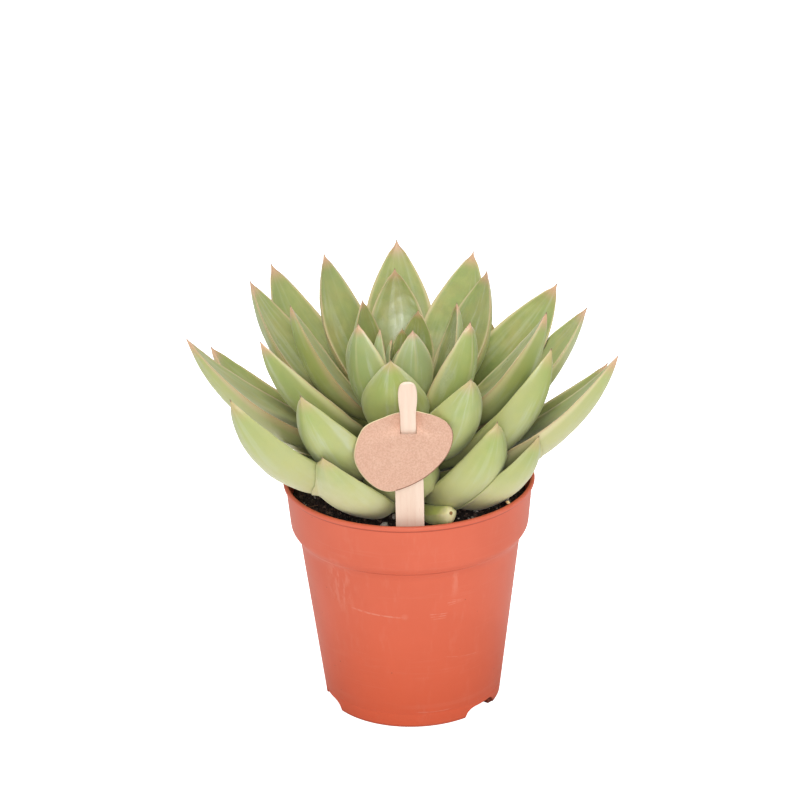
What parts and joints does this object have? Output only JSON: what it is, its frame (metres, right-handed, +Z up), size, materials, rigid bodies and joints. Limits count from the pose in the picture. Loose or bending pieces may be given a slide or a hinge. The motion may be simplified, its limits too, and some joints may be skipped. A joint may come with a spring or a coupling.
{
  "type": "potted succulent",
  "caption": "Rosette succulent with thick pointed pale green leaves, growing in a tapered terracotta-coloured plastic nursery pot, with a bare board tag threaded on a flat wooden stick.",
  "frame": {"origin": "the middle of the whole plant's box, on the floor it stands on", "axes": "+Z up, the front with the tag faces -Y, +X is to the right seen from the front"},
  "size_m": [0.1742, 0.141, 0.1836],
  "materials": {
    "terracotta_plastic": "moulded terracotta-coloured plastic, semi-matt, scuffed with pale streaks",
    "peat": "damp dark peat with pale perlite",
    "stem": "pale green bark, out of sight",
    "leaf": "smooth waxy skin, pale green, cream below, pink tips",
    "birch": "raw sanded birch",
    "brown_board": "uncoated brown board"
  },
  "bodies": {
    "root": {"pot": "terracotta_plastic", "soil": "peat", "stem": "stem", "bud": "leaf", "leaf_01": "leaf", "leaf_02": "leaf", "leaf_03": "leaf", "leaf_04": "leaf", "leaf_05": "leaf", "leaf_06": "leaf", "leaf_07": "leaf", "leaf_08": "leaf", "leaf_09": "leaf", "leaf_10": "leaf", "leaf_11": "leaf", "leaf_12": "leaf", "leaf_13": "leaf", "leaf_14": "leaf", "leaf_15": "leaf", "leaf_16": "leaf", "leaf_17": "leaf", "leaf_18": "leaf", "leaf_19": "leaf", "leaf_20": "leaf", "leaf_21": "leaf", "leaf_22": "leaf", "leaf_23": "leaf", "leaf_24": "leaf", "leaf_25": "leaf", "leaf_26": "leaf", "leaf_27": "leaf", "leaf_28": "leaf", "leaf_29": "leaf", "leaf_30": "leaf", "leaf_31": "leaf", "leaf_32": "leaf", "leaf_33": "leaf", "leaf_34": "leaf", "leaf_35": "leaf", "leaf_36": "leaf", "leaf_37": "leaf", "leaf_38": "leaf", "leaf_39": "leaf", "leaf_40": "leaf", "leaf_41": "leaf", "leaf_42": "leaf", "label_stick": "birch", "label_card": "brown_board"}
  },
  "joints": []
}
